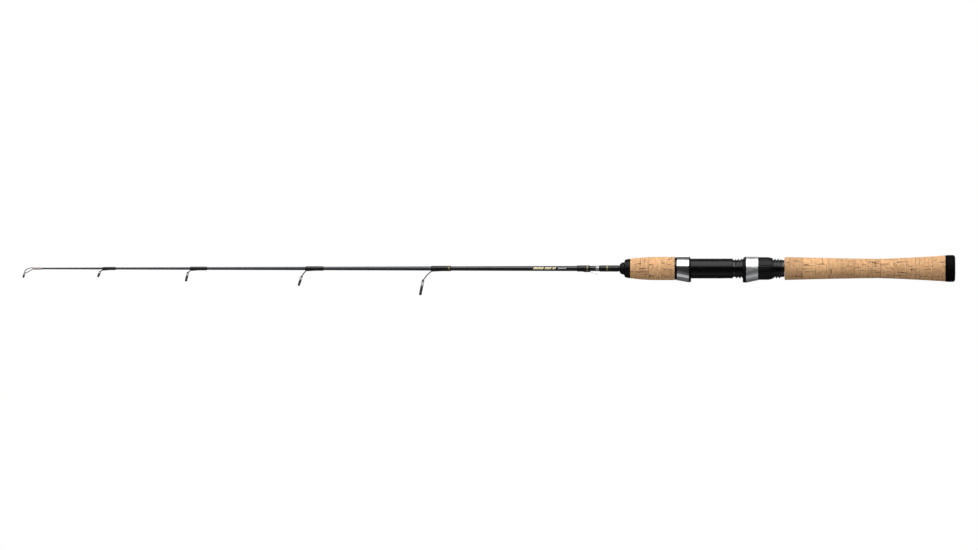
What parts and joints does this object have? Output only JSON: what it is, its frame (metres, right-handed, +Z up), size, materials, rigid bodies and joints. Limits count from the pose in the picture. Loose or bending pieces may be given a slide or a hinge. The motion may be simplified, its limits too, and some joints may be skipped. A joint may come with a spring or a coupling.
{
  "type": "fishing rod",
  "caption": "Short one-piece spinning rod: cork grips, tube reel seat whose screw nut drives a sliding hood, tapered blank with single-foot line guides and a tip-top.",
  "frame": {"origin": "centre of the butt cap's flat end face", "axes": "+X along the rod's axis out of the butt end, so the tip points to -X; +Z up, with the reel seat's pockets and the line guides below, towards -Z; +Y completes a right-handed frame"},
  "size_m": [0.914, 0.0264, 0.0395],
  "materials": {
    "blank_gloss": "tapered graphite composite, clear gloss near the grip and satin grey towards the tip",
    "tip_tube_metal": "warm grey metal tube",
    "stainless_frame": "stamped stainless steel, smooth",
    "dark_ceramic": "polished dark grey ceramic",
    "varnished_thread": "black nylon thread under gloss varnish",
    "gold_thread": "muted gold metallic thread",
    "silver_thread": "silver metallic thread",
    "keeper_wire": "bright wire",
    "check_rubber": "satin black moulded rubber",
    "cork": "natural ring cork, sanded, with open pits",
    "seat_plastic": "moulded black, satin gloss",
    "polished_stainless": "polished stainless sheet, lightly brushed round",
    "liner_plastic": "moulded black",
    "nut_plastic": "moulded black, fine flutes",
    "arbor_foam": "rigid foam bush",
    "cap_rubber": "matte black moulded rubber"
  },
  "bodies": {
    "rod": {"blank": "blank_gloss", "tip_top_tube": "tip_tube_metal", "tip_top_frame": "stainless_frame", "tip_top_ring": "dark_ceramic", "guide_frame_1": "stainless_frame", "guide_ring_1": "dark_ceramic", "guide_wrap_1": "varnished_thread", "guide_frame_2": "stainless_frame", "guide_ring_2": "dark_ceramic", "guide_wrap_2": "varnished_thread", "guide_frame_3": "stainless_frame", "guide_ring_3": "dark_ceramic", "guide_wrap_3": "varnished_thread", "guide_frame_4": "stainless_frame", "guide_ring_4": "dark_ceramic", "guide_wrap_4": "varnished_thread", "guide_trim": "gold_thread", "hook_keeper": "keeper_wire", "keeper_wrap": "varnished_thread", "keeper_trim": "gold_thread", "silver_trim": "silver_thread", "butt_wrap": "varnished_thread", "butt_trim": "gold_thread", "winding_check": "check_rubber", "fore_cork_1": "cork", "fore_cork_2": "cork", "fore_cork_3": "cork", "fore_cork_4": "cork", "reel_seat_body": "seat_plastic", "fixed_hood_shell": "polished_stainless", "fixed_hood_liner": "liner_plastic", "seat_arbor_1": "arbor_foam", "seat_arbor_2": "arbor_foam", "seat_arbor_3": "arbor_foam", "rear_cork_1": "cork", "rear_cork_2": "cork", "rear_cork_3": "cork", "rear_cork_4": "cork", "rear_cork_5": "cork", "rear_cork_6": "cork", "rear_cork_7": "cork", "rear_cork_8": "cork", "rear_cork_9": "cork", "rear_cork_10": "cork", "rear_cork_11": "cork", "rear_cork_12": "cork", "rear_cork_13": "cork", "butt_cap": "cap_rubber"},
    "moving_hood": {"moving_hood_shell": "polished_stainless", "moving_hood_liner": "liner_plastic"},
    "lock_nut": {"lock_nut": "nut_plastic"}
  },
  "joints": [
    {"name": "hood_slide", "type": "slide", "parent": "rod", "child": "moving_hood", "axis": [1, 0, 0], "range_m": [-0.0201, 0.0106]},
    {"name": "nut_spin", "type": "hinge", "parent": "moving_hood", "child": "lock_nut", "pos_m": [-0.187, 0, 0], "axis": [1, 0, 0], "range_deg": [-2400, 1260]}
  ],
  "couplings": [
    {"joint": "hood_slide", "follows": "nut_spin", "m_per_rad": 0.00047746}
  ]
}
